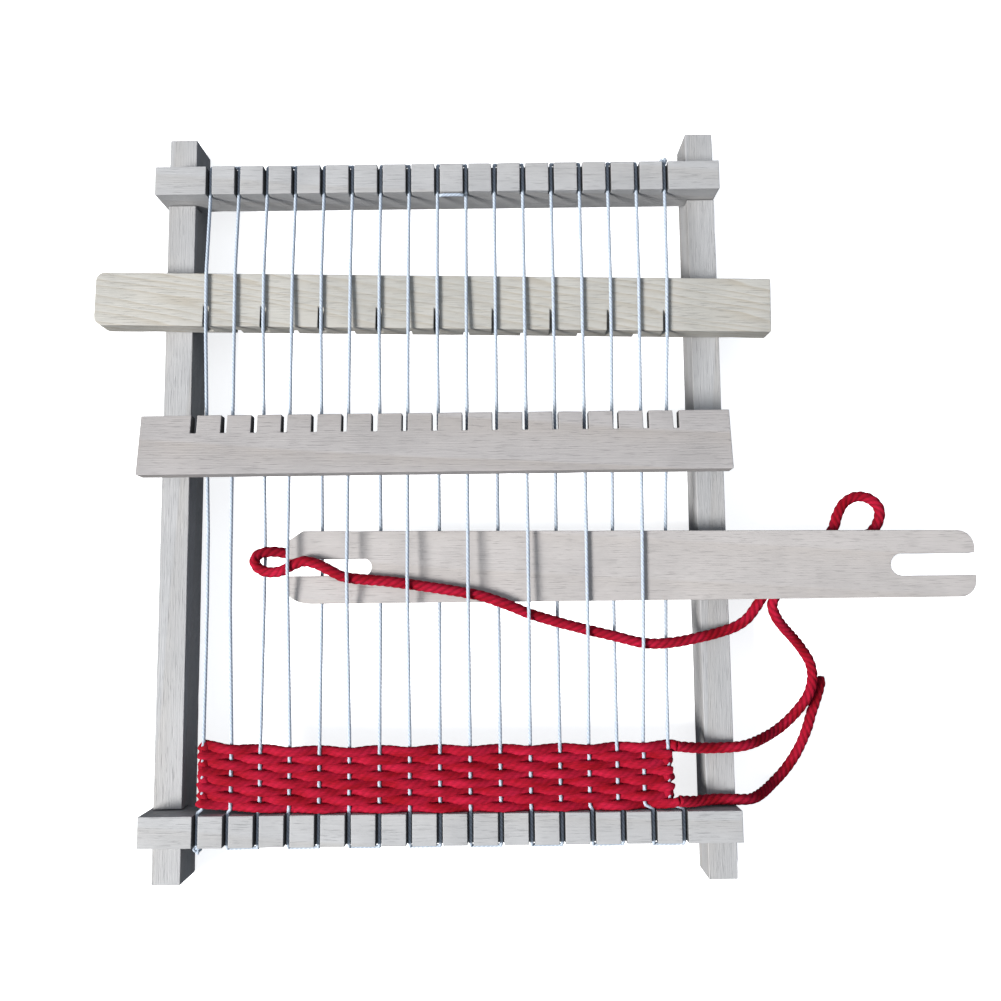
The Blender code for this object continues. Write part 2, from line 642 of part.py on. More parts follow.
frame()
heddle()
comb()
shuttle()
yarn_route = smooth_route(WORKING_YARN, YARN_STEP)
tube("working_yarn", yarn_route, YARN_RADIUS, "yarn")
tube("weft_tail", smooth_route(WEFT_TAIL, YARN_STEP), YARN_RADIUS, "yarn")
for number in range(1, ENDS + 1):
    warp_end(number, yarn_route)
warp_turns()
warp_knot("warp_knot_far", ENDS, 1)
warp_knot("warp_knot_near", 1, -1)
warp_tie()
weft()
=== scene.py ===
"""The looks of a small wooden frame loom: worn wood, twisted cotton warp and crimson yarn, with its stage.

Metres, +Z up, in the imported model's own frame. Each button makes one piece or one group of like pieces in
place of the plain solids, and the new pieces ride on the same bodies.
"""

from math import cos, pi, radians, sin, tau

import bmesh
import bpy
import numpy as np
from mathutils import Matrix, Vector, noise


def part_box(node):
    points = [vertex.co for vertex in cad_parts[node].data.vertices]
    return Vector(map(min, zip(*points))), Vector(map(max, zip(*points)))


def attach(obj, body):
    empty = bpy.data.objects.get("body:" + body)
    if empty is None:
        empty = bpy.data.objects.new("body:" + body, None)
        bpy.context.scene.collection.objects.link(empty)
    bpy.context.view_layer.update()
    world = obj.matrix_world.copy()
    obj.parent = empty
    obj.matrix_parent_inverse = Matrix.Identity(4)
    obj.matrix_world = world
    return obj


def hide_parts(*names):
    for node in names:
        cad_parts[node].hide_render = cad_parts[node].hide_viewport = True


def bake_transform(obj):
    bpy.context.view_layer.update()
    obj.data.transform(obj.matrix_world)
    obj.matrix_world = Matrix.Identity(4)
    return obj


bl_info = {
    "name": "Frame loom",
    "version": (1, 0, 0),
    "blender": (4, 5, 0),
    "location": "3D View > Sidebar > Loom",
    "description": "Makes the wood, warp, weaving and yarn of a frame loom, and its floor and lights",
    "category": "Object",
}

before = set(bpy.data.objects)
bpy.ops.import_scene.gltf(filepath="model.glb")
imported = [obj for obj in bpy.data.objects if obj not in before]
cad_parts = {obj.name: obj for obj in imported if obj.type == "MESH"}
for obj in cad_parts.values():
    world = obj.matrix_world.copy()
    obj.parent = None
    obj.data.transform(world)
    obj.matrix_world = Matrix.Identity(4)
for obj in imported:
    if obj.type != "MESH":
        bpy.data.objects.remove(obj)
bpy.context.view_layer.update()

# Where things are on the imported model.
ENDS = 17
ROWS = 8
MIDDLE_X = (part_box("near_beam")[0].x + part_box("near_beam")[1].x) / 2
NEAR_BEAM_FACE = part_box("near_beam")[1].y
HEDDLE_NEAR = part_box("heddle_bar")[0].y
HEDDLE_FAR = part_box("heddle_bar")[1].y
THREAD_Z = sum(corner.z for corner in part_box("warp_turn_near_02")) / 2
ROW_PITCH = 0.0026
FIRST_ROW_Y = NEAR_BEAM_FACE + 0.00275
LAST_ROW_Y = FIRST_ROW_Y + (ROWS - 1) * ROW_PITCH

# How the threads are spun, and how finely each is drawn round its girth.
COTTON_PLIES = 3
COTTON_SIDES = 12
YARN_PLIES = 4
ROW_SIDES = 24
YARN_SIDES = 28

# The working yarn's route, from the last row round to the shuttle, measured from the middle of the warp.
WORKING_YARN = (
    (0.0785, -0.0853, 0.0212), (0.0825, -0.0859, 0.0200), (0.0873, -0.0864, 0.0184),
    (0.0930, -0.0866, 0.0174), (0.0995, -0.0863, 0.0174), (0.1040, -0.0857, 0.0159),
    (0.1090, -0.0847, 0.0122), (0.1151, -0.0827, 0.0079), (0.1203, -0.0794, 0.0061),
    (0.1247, -0.0749, 0.0060), (0.1279, -0.0703, 0.0060), (0.1295, -0.0652, 0.0055),
    (0.1292, -0.0601, 0.0048), (0.1266, -0.0555, 0.0055), (0.1224, -0.0511, 0.0090),
    (0.1177, -0.0470, 0.0135), (0.1143, -0.0432, 0.0167), (0.1130, -0.0387, 0.0178),
    (0.1165, -0.0333, 0.0179), (0.1260, -0.0266, 0.0179), (0.1380, -0.0203, 0.0179),
    (0.1475, -0.0150, 0.0178), (0.1508, -0.0104, 0.0173), (0.1510, -0.0062, 0.0168),
    (0.1480, -0.0032, 0.0165), (0.1436, -0.0025, 0.0165), (0.1393, -0.0047, 0.0168),
    (0.1366, -0.0089, 0.0173), (0.1345, -0.0140, 0.0178), (0.1295, -0.0200, 0.0179),
    (0.1195, -0.0284, 0.0179), (0.1110, -0.0350, 0.0179), (0.1073, -0.0400, 0.0177),
    (0.1044, -0.0437, 0.0174), (0.1005, -0.0463, 0.0174), (0.0948, -0.0482, 0.0180),
    (0.0878, -0.0497, 0.0197), (0.0779, -0.0513, 0.0214), (0.0687, -0.0514, 0.0219),
    (0.0587, -0.0490, 0.0220), (0.0494, -0.0467, 0.0224), (0.0397, -0.0441, 0.0231),
    (0.0304, -0.0412, 0.0243), (0.0244, -0.0387, 0.0253), (0.0191, -0.0367, 0.0258),
    (0.0131, -0.0348, 0.0259), (0.0039, -0.0331, 0.0259), (-0.0061, -0.0315, 0.0259),
    (-0.0164, -0.0300, 0.0259), (-0.0260, -0.0291, 0.0259), (-0.0317, -0.0282, 0.0259),
    (-0.0361, -0.0260, 0.0259), (-0.0402, -0.0240, 0.0259), (-0.0446, -0.0230, 0.0258),
    (-0.0488, -0.0243, 0.0251), (-0.0530, -0.0262, 0.0238), (-0.0580, -0.0263, 0.0224),
    (-0.0613, -0.0246, 0.0217), (-0.0623, -0.0222, 0.0212), (-0.0610, -0.0202, 0.0205),
    (-0.0575, -0.0194, 0.0194), (-0.0537, -0.0197, 0.0181), (-0.0499, -0.0211, 0.0178),
    (-0.0462, -0.0226, 0.0178),
)

# The weft's first end, from the first row out past the frame.
WEFT_TAIL = (
    (0.0785, -0.1026, 0.0227), (0.0830, -0.1032, 0.0208), (0.0879, -0.1033, 0.0185),
    (0.0931, -0.1033, 0.0174), (0.0996, -0.1035, 0.0174), (0.1040, -0.1036, 0.0158),
    (0.1086, -0.1029, 0.0113), (0.1139, -0.1009, 0.0057), (0.1195, -0.0967, 0.0028),
    (0.1242, -0.0907, 0.0020), (0.1276, -0.0839, 0.0020), (0.1299, -0.0773, 0.0020),
    (0.1319, -0.0721, 0.0020), (0.1335, -0.0669, 0.0020), (0.1338, -0.0648, 0.0020),
)


class LoomSizes(bpy.types.PropertyGroup):
    """Sizes that only the looks have."""

    arris: bpy.props.FloatProperty(
        name="Arris", description="Width of the worn rounding on the wood's edges",
        default=0.00035, min=0.0001, max=0.0008, precision=5, unit="LENGTH",
    )
    wear: bpy.props.FloatProperty(
        name="Wear", description="How far the wood's faces dip from dead flat",
        default=0.00007, min=0.0, max=0.0003, precision=5, unit="LENGTH",
    )
    grain_depth: bpy.props.FloatProperty(
        name="Grain depth", description="Depth of the open grain in the wood's surface",
        default=0.00009, min=0.0, max=0.0005, precision=5, unit="LENGTH",
    )
    cotton_radius: bpy.props.FloatProperty(
        name="Cotton radius", description="Radius of the warp cotton over its plies",
        default=0.0006, min=0.0003, max=0.0009, precision=5, unit="LENGTH",
    )
    cotton_lay: bpy.props.FloatProperty(
        name="Cotton lay", description="Length of one full twist of the warp cotton",
        default=0.0042, min=0.001, max=0.02, precision=5, unit="LENGTH",
    )
    yarn_radius: bpy.props.FloatProperty(
        name="Yarn radius", description="Radius of the loose yarn over its plies",
        default=0.00185, min=0.001, max=0.0022, precision=5, unit="LENGTH",
    )
    yarn_lay: bpy.props.FloatProperty(
        name="Yarn lay", description="Length of one full twist of the yarn",
        default=0.0105, min=0.003, max=0.05, precision=5, unit="LENGTH",
    )
    row_width: bpy.props.FloatProperty(
        name="Row width", description="Width of the yarn where it is beaten down into a row",
        default=0.0038, min=0.002, max=0.0044, precision=5, unit="LENGTH",
    )
    row_lift: bpy.props.FloatProperty(
        name="Row lift", description="How far the yarn rises over and dips under each warp end",
        default=0.0011, min=0.0008, max=0.002, precision=5, unit="LENGTH",
    )
    warp_dip: bpy.props.FloatProperty(
        name="Warp dip", description="How far the yarn presses a warp end down or up in the weaving",
        default=0.0005, min=0.0, max=0.0008, precision=5, unit="LENGTH",
    )


def colour_of(name, description, default):
    return bpy.props.FloatVectorProperty(
        name=name, description=description, default=default, min=0.0, max=1.0, subtype="COLOR",
    )


class LoomColours(bpy.types.PropertyGroup):
    """Base colours, before the grain, the wear and the painted shade in the slots and between the plies
    change them.
    """

    frame_wood: colour_of("Frame", "Pale wood of the posts and beams", (0.455, 0.452, 0.452))
    heddle_wood: colour_of("Heddle bar", "Cream wood of the turning bar", (0.50, 0.485, 0.445))
    comb_wood: colour_of("Comb", "Greyer wood of the comb", (0.440, 0.415, 0.405))
    shuttle_wood: colour_of("Shuttle", "Pale wood of the shuttle", (0.505, 0.473, 0.455))
    cotton: colour_of("Warp cotton", "White cotton of the warp", (0.50, 0.57, 0.66))
    yarn: colour_of("Yarn", "Crimson of the weft yarn", (0.27, 0.0004, 0.008))
    steel: colour_of("Screws", "Steel of the corner screws", (0.62, 0.61, 0.58))
    floor: colour_of("Floor", "Pale floor under the loom", (0.9, 0.9, 0.9))


# Materials.


def wire(tree, kind, settings=None, **inputs):
    """A new shader node, with its settings, and its inputs given by value or by another node's output."""
    made = tree.nodes.new("ShaderNode" + kind)
    for name, value in (settings or {}).items():
        setattr(made, name, value)
    for name, value in inputs.items():
        socket = made.inputs[int(name[1:])] if name[0] == "i" and name[1:].isdigit() else made.inputs[name]
        if isinstance(value, bpy.types.NodeSocket):
            tree.links.new(value, socket)
        else:
            socket.default_value = value
    return made


def ramp(tree, factor, *stops):
    """A colour ramp by its stops, each a place and a grey or a colour."""
    made = wire(tree, "ValToRGB", Fac=factor)
    elements = made.color_ramp.elements
    while len(elements) < len(stops):
        elements.new(0.5)
    for element, (place, colour) in zip(elements, stops):
        element.position = place
        element.color = (*colour, 1) if isinstance(colour, tuple) else (colour, colour, colour, 1)
    return made.outputs["Color"]


def mixed(tree, factor, a, b, blend="MIX"):
    made = wire(tree, "Mix", {"data_type": "RGBA", "blend_type": blend}, i0=factor, i6=a, i7=b)
    return made.outputs[2]


def new_material(name, colour, roughness):
    """A material with one Principled shader, its tree and its shader."""
    made = bpy.data.materials.new(name)
    made.use_nodes = True
    shader = made.node_tree.nodes["Principled BSDF"]
    shader.inputs["Base Color"].default_value = (*colour, 1)
    shader.inputs["Roughness"].default_value = roughness
    made.diffuse_color = (*colour, 1)
    return made, made.node_tree, shader


def times(colour, share):
    return (colour[0] * share, colour[1] * share, colour[2] * share, 1)


def wood(name, colour, along, grain_depth, wave=0.5, figure=1.0, seed=0.0, tilt=0.0, rings=0.42):
    """Sawn, lightly sanded wood: growth lines, fibres, pores, soft blotches, worn edges and painted shade on
    the slot walls.

    tilt turns the growth lines away from the strip's length, and rings sets how close together they are."""
    made, tree, shader = new_material(name, colour, 0.62)
    place = wire(tree, "TexCoord").outputs["Object"]
    turn = {"X": (0, 0, 0), "Y": (0, 0, -pi / 2)}[along]
    lean = (0, 0, turn[2] + tilt)
    leaning = wire(tree, "Mapping", Vector=place, Rotation=lean, Location=(seed, 0, seed * 0.5))
    across = wire(tree, "Mapping", Vector=place, Rotation=turn, Location=(seed, seed * 0.37, seed * 0.71))
    lined = wire(tree, "Mapping", Vector=leaning.outputs[0], Scale=(7, 120, 120))
    drift = wire(tree, "TexNoise", Vector=lined.outputs[0], Scale=0.7, Detail=3.0, Roughness=0.5)
    growth = wire(
        tree, "TexWave", {"wave_type": "BANDS", "bands_direction": "DIAGONAL", "wave_profile": "SAW"},
        Vector=lined.outputs[0], Scale=rings, Distortion=5.0 * figure, Detail=3.0,
        **{"Detail Scale": 0.6, "Detail Roughness": 0.55},
    )
    thin = wire(tree, "Mapping", Vector=across.outputs[0], Scale=(55, 2600, 2600))
    fibres = wire(tree, "TexNoise", Vector=thin.outputs[0], Scale=1.0, Detail=4.0, Roughness=0.65)
    short = wire(tree, "Mapping", Vector=across.outputs[0], Scale=(160, 3300, 3300))
    pores = wire(tree, "TexNoise", Vector=short.outputs[0], Scale=1.0, Detail=2.0, Roughness=0.5)
    blotches = wire(tree, "TexNoise", Vector=place, Scale=38.0, Detail=4.0, Roughness=0.6)
    lines = ramp(tree, growth.outputs["Fac"], (0.0, 0.0), (0.55, 0.35), (0.93, 1.0), (1.0, 0.1))
    flecks = ramp(tree, pores.outputs["Fac"], (0.60, 0.0), (0.72, 1.0))
    streaks = ramp(tree, fibres.outputs["Fac"], (0.32, 0.0), (0.68, 1.0))
    light = times(colour, 1.10)
    late = (colour[0] * 0.80, colour[1] * 0.74, colour[2] * 0.66, 1)
    tone = mixed(tree, drift.outputs["Fac"], light, times(colour, 0.86))
    share = wire(tree, "Math", {"operation": "MULTIPLY"}, i0=lines, i1=wave)
    tone = mixed(tree, share.outputs[0], tone, late)
    tone = mixed(tree, streaks, mixed(tree, 0.16, tone, times(colour, 0.45)), tone)
    fleck_share = wire(tree, "Math", {"operation": "MULTIPLY"}, i0=flecks, i1=0.42)
    tone = mixed(tree, fleck_share.outputs[0], tone, times(colour, 0.36))
    cloud = ramp(tree, blotches.outputs["Fac"], (0.35, 0.93), (0.65, 1.03))
    tone = mixed(tree, 1.0, tone, cloud, "MULTIPLY")
    edge = wire(tree, "Attribute", {"attribute_name": "edge"}).outputs["Fac"]
    patchy = ramp(tree, blotches.outputs["Fac"], (0.4, 0.1), (0.6, 0.55))
    rub = wire(tree, "Math", {"operation": "MULTIPLY"}, i0=edge, i1=patchy)
    tone = mixed(tree, rub.outputs[0], tone, times(colour, 0.62))
    # Painted shade: the slot walls marked as cut are darkened most of the way to a tenth of the wood's
    # colour.
    cut = wire(tree, "Attribute", {"attribute_name": "cut"}).outputs["Fac"]
    shade = wire(tree, "Math", {"operation": "MULTIPLY"}, i0=cut, i1=0.85)
    tone = mixed(tree, shade.outputs[0], tone, times(colour, 0.10))
    tree.links.new(tone, shader.inputs["Base Color"])
    gloss = ramp(tree, fibres.outputs["Fac"], (0.3, 0.74), (0.7, 0.55))
    tree.links.new(gloss, shader.inputs["Roughness"])
    rough = wire(tree, "Math", {"operation": "SUBTRACT"}, i0=streaks, i1=flecks)
    height = wire(tree, "Math", {"operation": "MULTIPLY_ADD"}, i0=lines, i1=-0.5, i2=rough.outputs[0])
    bump = wire(tree, "Bump", Height=height.outputs[0], Distance=grain_depth, Strength=0.8)
    tree.links.new(bump.outputs["Normal"], shader.inputs["Normal"])
    shader.inputs["Specular IOR Level"].default_value = 0.35
    return made


def spun(name, colour, pale_fibre_and_highlight_colour, groove_shade_share, fibre, depth, sheen):
    """Spun fibre on plied thread: painted shade in the grooves between plies, pale streaks that are paler
    fibres and partly a painted highlight, fine hairs along the strand.
    """
    made, tree, shader = new_material(name, colour, 0.9)
    laid = wire(tree, "UVMap", {"uv_map": "strand"}).outputs[0]
    drawn = wire(tree, "Mapping", Vector=laid, Scale=(fibre, 46, 1))
    hairs = wire(tree, "TexNoise", Vector=drawn.outputs[0], Scale=1.0, Detail=4.0, Roughness=0.62)
    slow = wire(tree, "Mapping", Vector=laid, Scale=(fibre * 0.22, 3, 1))
    slubs = wire(tree, "TexNoise", Vector=slow.outputs[0], Scale=1.0, Detail=3.0, Roughness=0.5)
    crest = wire(tree, "Attribute", {"attribute_name": "crest"}).outputs["Fac"]
    # Painted shade: the colour darkens into the grooves between the plies, down to the groove share at the
    # bottom of a groove.
    painted_groove_shade = ramp(tree, crest, (0.0, groove_shade_share), (0.55, 0.72), (1.0, 1.0))
    hair_tone = ramp(tree, hairs.outputs["Fac"], (0.34, 0.62), (0.52, 0.95), (0.70, 1.12))
    thick = ramp(tree, slubs.outputs["Fac"], (0.35, 0.0), (0.7, 0.5))
    # Pale streaks of the crest colour at slubs and stray hairs: paler fibres, and partly a painted
    # highlight.
    tone = mixed(tree, thick, (*colour, 1), (*pale_fibre_and_highlight_colour, 1))
    pale = ramp(tree, hairs.outputs["Fac"], (0.62, 0.0), (0.78, 0.55))
    tone = mixed(tree, pale, tone, (*pale_fibre_and_highlight_colour, 1))
    tone = mixed(tree, 1.0, tone, hair_tone, "MULTIPLY")
    tone = mixed(tree, 1.0, tone, painted_groove_shade, "MULTIPLY")
    tree.links.new(tone, shader.inputs["Base Color"])
    bump = wire(tree, "Bump", Height=hairs.outputs["Fac"], Distance=depth, Strength=0.9)
    tree.links.new(bump.outputs["Normal"], shader.inputs["Normal"])
    shader.inputs["Sheen Weight"].default_value = sheen
    shader.inputs["Sheen Roughness"].default_value = 0.5
    shader.inputs["Sheen Tint"].default_value = (*pale_fibre_and_highlight_colour, 1)
    shader.inputs["Specular IOR Level"].default_value = 0.15
    return made


def steel(colour):
    """Turned zinc-plated steel with fine rings and a little tarnish."""
    made, tree, shader = new_material("screw_steel", colour, 0.35)
    place = wire(tree, "TexCoord").outputs["Object"]
    stains = wire(tree, "TexNoise", Vector=place, Scale=700.0, Detail=5.0, Roughness=0.6)
    scratches = wire(tree, "TexNoise", Vector=place, Scale=4200.0, Detail=3.0, Roughness=0.7)
    tarnish = ramp(tree, stains.outputs["Fac"], (0.4, 0.0), (0.7, 0.7))
    tone = mixed(tree, tarnish, (*colour, 1), times(colour, 0.55))
    tree.links.new(tone, shader.inputs["Base Color"])
    tree.links.new(ramp(tree, stains.outputs["Fac"], (0.3, 0.24), (0.7, 0.5)), shader.inputs["Roughness"])
    bump = wire(tree, "Bump", Height=scratches.outputs["Fac"], Distance=0.00003, Strength=0.5)
    tree.links.new(bump.outputs["Normal"], shader.inputs["Normal"])
    shader.inputs["Metallic"].default_value = 1.0
    return made


# Shapes.


def placed(name, mesh, body, material, slot, *nodes):
    """A new piece that rides on a body in place of the CAD nodes."""
    mesh.materials.clear()
    mesh.materials.append(material)
    obj = bpy.data.objects.new(name, mesh)
    bpy.context.scene.collection.objects.link(obj)
    if body:
        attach(obj, body)
    if nodes:
        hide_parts(*nodes)
    return obj


def mark(layer, faces):
    for face in faces:
        for vert in face.verts:
            vert[layer] = 1.0


def carved(node, body, material, slot, sizes, along, spacing=0.006):
    """A wooden piece from its CAD solid: edges rounded, then faces and edges worn a little out of true.

    The walls of its slots are marked, so that the wood's material paints shade on them."""
    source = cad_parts[node]
    shape = bmesh.new()
    shape.from_mesh(source.data)
    bmesh.ops.remove_doubles(shape, verts=shape.verts, dist=2e-6)
    bmesh.ops.dissolve_limit(shape, angle_limit=radians(1.5), verts=shape.verts, edges=shape.edges)
    edge = shape.verts.layers.float.new("edge")
    sharp = [
        e for e in shape.edges
        if len(e.link_faces) == 2 and e.calc_face_angle(0) > radians(28) and e.calc_length() > 0.0009
    ]
    rounded = bmesh.ops.bevel(
        shape, geom=sharp, offset=sizes.arris, segments=3, profile=0.55, affect="EDGES", clamp_overlap=True,
    )
    mark(edge, rounded["faces"])
    # Painted shade: the slot walls are marked here, for the wood's material to darken them.
    cut = shape.verts.layers.float.new("cut")
    axis = {"X": 0, "Y": 1}[along]
    normal = Vector((1, 0, 0)) if along == "X" else Vector((0, 1, 0))
    low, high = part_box(node)
    shape.normal_update()
    end = 0.004
    walls = [
        f for f in shape.faces
        if abs(f.normal[axis]) > 0.95 and low[axis] + end < f.calc_center_median()[axis] < high[axis] - end
    ]
    mark(cut, walls)
    cuts = int((high[axis] - low[axis]) / spacing)
    for k in range(1, cuts):
        at = low[axis] + (high[axis] - low[axis]) * k / cuts
        geometry = [*shape.verts, *shape.edges, *shape.faces]
        bmesh.ops.bisect_plane(shape, geom=geometry, dist=1e-6, plane_co=normal * at, plane_no=normal)
    shape.normal_update()
    moves = []
    for vert in shape.verts:
        place = Vector(vert.co)
        place[axis] *= 0.35
        dip = 0.5 + 0.5 * noise.noise(place * 260)
        nick = max(0.0, noise.noise(Vector(vert.co) * 310 + Vector((3.1, 7.7, 1.3))) - 0.25) * vert[edge]
        moves.append(vert.normal * -(sizes.wear * dip + sizes.arris * 0.9 * nick))
    for vert, move in zip(shape.verts, moves):
        vert.co += move
    bmesh.ops.triangulate(shape, faces=[f for f in shape.faces if len(f.verts) > 4])
    mesh = bpy.data.meshes.new(node + "_worn")
    shape.to_mesh(mesh)
    shape.free()
    mesh.shade_smooth()
    obj = placed(node + "_worn", mesh, body, material, slot, node)
    weighted = obj.modifiers.new("face_weighted_normals", "WEIGHTED_NORMAL")
    weighted.weight = 80
    return obj


def even(points, step):
    """Points an even step apart along a line of points."""
    points = np.asarray(points, float)
    lengths = np.linalg.norm(np.diff(points, axis=0), axis=1)
    walked = np.concatenate([[0], np.cumsum(lengths)])
    at = np.linspace(0, walked[-1], max(2, round(walked[-1] / step)) + 1)
    return np.column_stack([np.interp(at, walked, points[:, k]) for k in range(3)])


def smooth(points, step):
    """Points an even step apart on a smooth curve through the given points."""
    p = np.asarray(points, float)
    p = np.vstack([2 * p[0] - p[1], p, 2 * p[-1] - p[-2]])
    t = np.linspace(0, 1, 12, endpoint=False)[:, None]
    parts = []
    for a, b, c, d in zip(p, p[1:], p[2:], p[3:]):
        bend = (2 * a - 5 * b + 4 * c - d) * t**2 + (3 * b - a - 3 * c + d) * t**3
        parts.append((2 * b + (c - a) * t + bend) / 2)
    return even(np.vstack([*parts, p[-2:-1]]), step)


def unit(v):
    return v / np.linalg.norm(v, axis=-1, keepdims=True)


def frames(path, carried):
    """Side and up directions along a path: level ones, or for a knot ones carried along without twist."""
    along = unit(np.gradient(path, axis=0))
    if not carried:
        side = unit(np.cross(along, (0, 0, 1)))
        return side, np.cross(side, along)
    up = np.empty_like(path)
    last = unit(np.cross(along[0], (0.3, 0.5, 0.8)))
    for k, direction in enumerate(along):
        last = unit(last - direction * (last @ direction))
        up[k] = last
    return np.cross(along, up), up


def wobble(count, seed, scale):
    """Slow, even noise along a strand, between about -1 and 1."""
    return np.array([noise.noise(Vector((k * scale, seed * 3.17, 0.5))) for k in range(count)])


def strand(
    name, path, radius, plies, lay, sides, flat=(1, 1), swell=1.0, carried=False, walked=0.0, seed=1,
    ply_size=0.62,
):
    """A plied thread or yarn along a path, as one closed mesh with its crest and strand coordinates.

    flat is a pressed strand's half width and half height as shares of radius, and swell its size along
    the path. ply_size is one ply's radius as a share of the strand's: the larger, the smoother."""
    path = np.asarray(path, float)
    count = len(path)
    side, up = frames(path, carried)
    step = np.concatenate([[0], np.linalg.norm(np.diff(path, axis=0), axis=1)])
    length = walked + np.cumsum(step)
    theta = np.arange(sides) / sides * tau - pi / 2
    turned = theta[None, :] - (tau * length / lay)[:, None]
    ply = (turned + pi / plies) % (tau / plies) - pi / plies
    inner = 1 - ply_size
    crest = inner * np.cos(ply) + np.sqrt(ply_size**2 - (inner * np.sin(ply)) ** 2)
    lowest = inner * cos(pi / plies) + (ply_size**2 - (inner * sin(pi / plies)) ** 2) ** 0.5
    wide, tall = flat
    grow = (1 + 0.035 * wobble(count, seed, 0.11)) * swell
    r = radius * crest * grow[:, None]
    sideways = side[:, None, :] * (np.cos(theta) * wide)[None, :, None]
    upwards = up[:, None, :] * (np.sin(theta) * tall)[None, :, None]
    points = (path[:, None, :] + (sideways + upwards) * r[:, :, None]).reshape(-1, 3)
    ring = np.arange(count - 1)[:, None] * sides
    one = np.arange(sides)
    two = (one + 1) % sides
    quads = np.stack([ring + one, ring + two, ring + sides + two, ring + sides + one], axis=-1)
    quads = quads.reshape(-1, 4)
    caps = [list(range(sides))[::-1], list(range((count - 1) * sides, count * sides))]
    mesh = bpy.data.meshes.new(name)
    mesh.from_pydata(points.tolist(), [], quads.tolist() + caps)
    u0 = np.repeat(length[:-1, None], sides, axis=1)
    u1 = np.repeat(length[1:, None], sides, axis=1)
    v0 = np.repeat((one / sides)[None, :], count - 1, axis=0)
    v1 = v0 + 1 / sides
    uv = np.stack([u0, v0, u0, v1, u1, v1, u1, v0], axis=-1).reshape(-1)
    uv = np.concatenate([uv, np.zeros(4 * sides)])
    mesh.uv_layers.new(name="strand").data.foreach_set("uv", uv.astype(np.float32))
    # The crest value, the surface's height over the grooves between plies, is what the materials paint
    # groove shade by.
    shallow = min(1.0, (1 - lowest) / 0.25)
    height = (1 - shallow * (1 - crest) / (1 - lowest)).reshape(-1)
    mesh.attributes.new("crest", "FLOAT", "POINT").data.foreach_set("value", height.astype(np.float32))
    mesh.shade_smooth()
    mesh.validate()
    shape = bmesh.new()
    shape.from_mesh(mesh)
    bmesh.ops.recalc_face_normals(shape, faces=shape.faces)
    shape.to_mesh(mesh)
    shape.free()
    return mesh


def crossed(node, heights):
    """The middle of a CAD thread where it crosses each y, as x, y, z."""
    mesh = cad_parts[node].data
    points = np.array([v.co for v in mesh.vertices])
    edges = np.array([e.vertices[:] for e in mesh.edges])
    a = points[edges[:, 0]]
    b = points[edges[:, 1]]
    found = []
    for y in heights:
        cut = (a[:, 1] - y) * (b[:, 1] - y) < 0
        share = (y - a[cut, 1]) / (b[cut, 1] - a[cut, 1])
        on = a[cut] + (b[cut] - a[cut]) * share[:, None]
        middle = (on.min(axis=0) + on.max(axis=0)) / 2
        found.append((middle[0], y, middle[2]))
    return np.array(found)


def row_y(row, x):
    """The middle of a woven row at x: the rows bow towards the near beam in the middle of the warp."""
    side = (x - MIDDLE_X) / 0.078
    bow = np.where(side < 0, 2.3, 0.9)
    return FIRST_ROW_Y + row * ROW_PITCH - 0.0013 + 0.001 * bow * abs(side) ** 4


def woven_x(end):
    """Where an end is in the weaving."""
    return crossed(f"warp_end_{end:02d}", [LAST_ROW_Y])[0][0]


def over(end, row):
    """1 where the row passes over the end, -1 where it passes under."""
    return 1 if (end + row) % 2 else -1


# Buttons: one for each piece or group of like pieces.


class LoomButton:
    bl_options = {"REGISTER", "UNDO"}


class LOOM_OT_posts(LoomButton, bpy.types.Operator):
    """Make the two posts"""

    bl_idname = "loom.posts"
    bl_label = "Posts"

    def execute(self, context):
        sizes = context.scene.loom_sizes
        colour = tuple(context.scene.loom_colours.frame_wood)
        material = wood("post_wood", colour, "Y", sizes.grain_depth, wave=0.42, seed=0.31)
        for node in ("left_post", "right_post"):
            carved(node, "frame", material, "frame_wood", sizes, "Y")
        return {"FINISHED"}


class LOOM_OT_beams(LoomButton, bpy.types.Operator):
    """Make the two slotted beams"""

    bl_idname = "loom.beams"
    bl_label = "Beams"

    def execute(self, context):
        sizes = context.scene.loom_sizes
        colour = tuple(context.scene.loom_colours.frame_wood)
        material = wood("beam_wood", colour, "X", sizes.grain_depth, wave=0.38, seed=0.77)
        for node in ("near_beam", "far_beam"):
            carved(node, "frame", material, "frame_wood", sizes, "X", spacing=0.005)
        return {"FINISHED"}


class LOOM_OT_heddle_bar(LoomButton, bpy.types.Operator):
    """Make the turning heddle bar"""

    bl_idname = "loom.heddle_bar"
    bl_label = "Heddle bar"

    def execute(self, context):
        sizes = context.scene.loom_sizes
        colour = tuple(context.scene.loom_colours.heddle_wood)
        material = wood(
            "heddle_wood", colour, "X", sizes.grain_depth, wave=0.95, figure=2.2, seed=1.9, tilt=0.14,
            rings=1.7,
        )
        carved("heddle_bar", "heddle", material, "heddle_wood", sizes, "X")
        return {"FINISHED"}


class LOOM_OT_comb(LoomButton, bpy.types.Operator):
    """Make the comb"""

    bl_idname = "loom.comb"
    bl_label = "Comb"

    def execute(self, context):
        sizes = context.scene.loom_sizes
        colour = tuple(context.scene.loom_colours.comb_wood)
        material = wood("comb_wood", colour, "X", sizes.grain_depth, wave=0.5, seed=2.6)
        carved("comb", "comb", material, "comb_wood", sizes, "X")
        return {"FINISHED"}


class LOOM_OT_shuttle(LoomButton, bpy.types.Operator):
    """Make the shuttle"""

    bl_idname = "loom.shuttle"
    bl_label = "Shuttle"

    def execute(self, context):
        sizes = context.scene.loom_sizes
        colour = tuple(context.scene.loom_colours.shuttle_wood)
        material = wood("shuttle_wood", colour, "X", sizes.grain_depth, wave=0.3, figure=0.6, seed=3.4)
        carved("shuttle", "shuttle", material, "shuttle_wood", sizes, "X")
        return {"FINISHED"}


